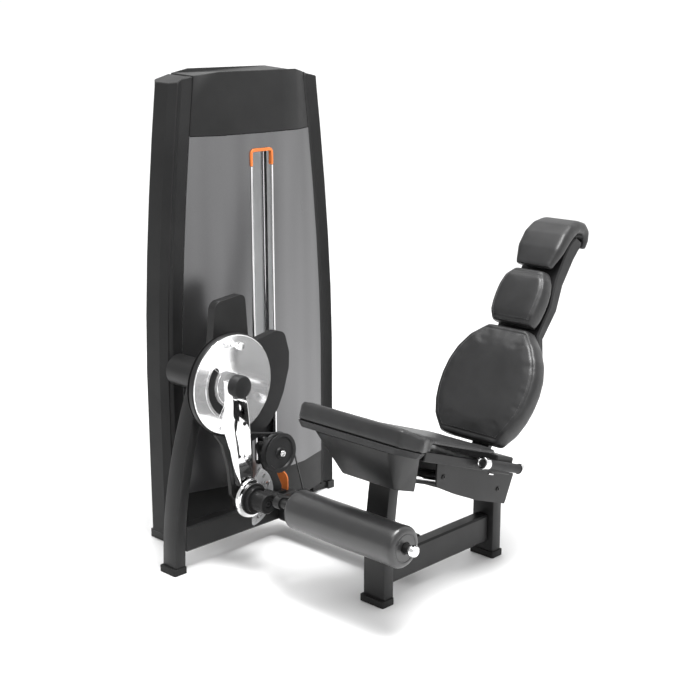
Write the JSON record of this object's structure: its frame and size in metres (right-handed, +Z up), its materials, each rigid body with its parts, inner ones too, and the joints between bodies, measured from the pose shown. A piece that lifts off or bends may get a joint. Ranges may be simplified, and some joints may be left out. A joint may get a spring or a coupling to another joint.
{
  "type": "leg extension machine",
  "caption": "Seated leg extension machine: weight tower, swinging leg arm with foam roller, tilted seat and sliding backrest.",
  "frame": {"origin": "on the floor, under the centre of the machine's bounding box", "axes": "+X from the weight tower towards the seat, -Y the way the user faces, +Z up"},
  "size_m": [1.2224, 1.3184, 1.6165],
  "materials": {
    "black_foam": "smooth matt black foam skin",
    "black_leather": "fine-grained black upholstery",
    "black_paint": "satin near-black powder coat",
    "black_plastic": "matt black",
    "cable_steel": "black coated wire rope",
    "chrome": "mirror polished",
    "frosted_plastic": "frosted pale plastic",
    "orange_plastic": "matt orange",
    "plate_steel": "dark grey weight plate",
    "rubber": "matt black",
    "silver_sheet": "silver-grey satin sheet"
  },
  "bodies": {
    "frame": {"axle_tube": "black_paint", "cable_drive": "cable_steel", "cable_guard": "orange_plastic", "cable_lift": "cable_steel", "cable_run": "cable_steel", "cross_beam": "black_paint", "drive_upright": "black_paint", "front_foot": "rubber", "front_post": "black_paint", "guide_rod_left": "chrome", "guide_rod_right": "chrome", "leg_foot": "rubber", "pulley_bracket": "black_paint", "rear_foot": "rubber", "rear_post": "black_paint", "seat_base": "black_plastic", "seat_beam": "black_paint", "seat_gusset": "black_paint", "seat_pad": "black_leather", "seat_rail": "black_paint", "slot_trim": "orange_plastic", "stop_rod": "chrome", "support_leg": "black_paint", "tower_back": "frosted_plastic", "tower_base": "black_paint", "tower_beam": "black_paint", "tower_crown": "black_paint", "tower_header": "black_paint", "tower_kick_panel": "black_paint", "tower_shroud": "silver_sheet", "tower_side_left": "black_paint", "tower_side_right": "black_paint", "weight_stack": "plate_steel", "wing_cover": "black_plastic"},
    "leg_arm": {"arm_cam": "black_paint", "arm_disc": "chrome", "arm_lever": "chrome", "arm_backplate": "black_paint", "arm_hub_cap": "black_plastic", "index_sector": "chrome", "ankle_ring": "chrome"},
    "range_pin": {"range_pin": "chrome"},
    "crank": {"crank": "black_paint", "axle_knob": "chrome"},
    "roller": {"roller_foam": "black_foam", "roller_cap": "black_plastic"},
    "weight_head": {"weight_head": "plate_steel"},
    "selector_pin": {"selector_pin": "black_plastic"},
    "low_pulley": {"low_pulley": "black_plastic"},
    "top_pulley_inner": {"top_pulley_inner": "black_plastic"},
    "top_pulley_outer": {"top_pulley_outer": "black_plastic"},
    "carriage": {"carriage": "black_paint", "grip_left": "black_plastic", "grip_left_collar": "chrome", "grip_right": "black_plastic", "grip_right_collar": "chrome", "back_shell": "black_plastic", "back_pad": "black_leather", "shoulder_pad": "black_leather", "head_pad": "black_leather"}
  },
  "joints": [
    {"name": "arm_swing", "type": "hinge", "parent": "frame", "child": "leg_arm", "pos_m": [-0.28515, -0.45218, 0.63], "axis": [-1, 0, 0], "range_deg": [0, 100]},
    {"name": "range_pin_pull", "type": "slide", "parent": "leg_arm", "child": "range_pin", "axis": [1, 0, 0], "range_m": [0, 0.012], "stiffness_N_per_m": 400},
    {"name": "crank_adjust", "type": "hinge", "parent": "leg_arm", "child": "crank", "pos_m": [-0.13515, -0.42018, 0.243], "axis": [1, 0, 0], "range_deg": [-30, 35]},
    {"name": "roller_spin", "type": "hinge", "parent": "crank", "child": "roller", "pos_m": [0.31485, -0.46018, 0.286], "axis": [1, 0, 0], "continuous": true},
    {"name": "weight_lift", "type": "slide", "parent": "frame", "child": "weight_head", "axis": [0, 0, 1], "range_m": [0, 0.3], "deforming": ["cable_lift"]},
    {"name": "selector_pull", "type": "slide", "parent": "weight_head", "child": "selector_pin", "axis": [1, 0, 0], "range_m": [0, 0.06]},
    {"name": "low_pulley_spin", "type": "hinge", "parent": "frame", "child": "low_pulley", "pos_m": [-0.21515, -0.23518, 0.342], "axis": [1, 0, 0], "range_deg": [-10, 250]},
    {"name": "top_pulley_inner_spin", "type": "hinge", "parent": "frame", "child": "top_pulley_inner", "pos_m": [-0.53015, -0.04648, 1.49], "axis": [-1, 0, 0], "range_deg": [-10, 400]},
    {"name": "top_pulley_outer_spin", "type": "hinge", "parent": "frame", "child": "top_pulley_outer", "pos_m": [-0.53015, 0.06712, 1.49], "axis": [-1, 0, 0], "range_deg": [-10, 400]},
    {"name": "carriage_slide", "type": "slide", "parent": "frame", "child": "carriage", "axis": [0, 0.9426, -0.3338], "range_m": [0, 0.12]}
  ],
  "couplings": [
    {"joint": "weight_lift", "follows": "arm_swing", "m_per_rad": 0.1612},
    {"joint": "low_pulley_spin", "follows": "arm_swing", "ratio": 2.45},
    {"joint": "top_pulley_inner_spin", "follows": "arm_swing", "ratio": 3.96},
    {"joint": "top_pulley_outer_spin", "follows": "arm_swing", "ratio": 3.96}
  ]
}
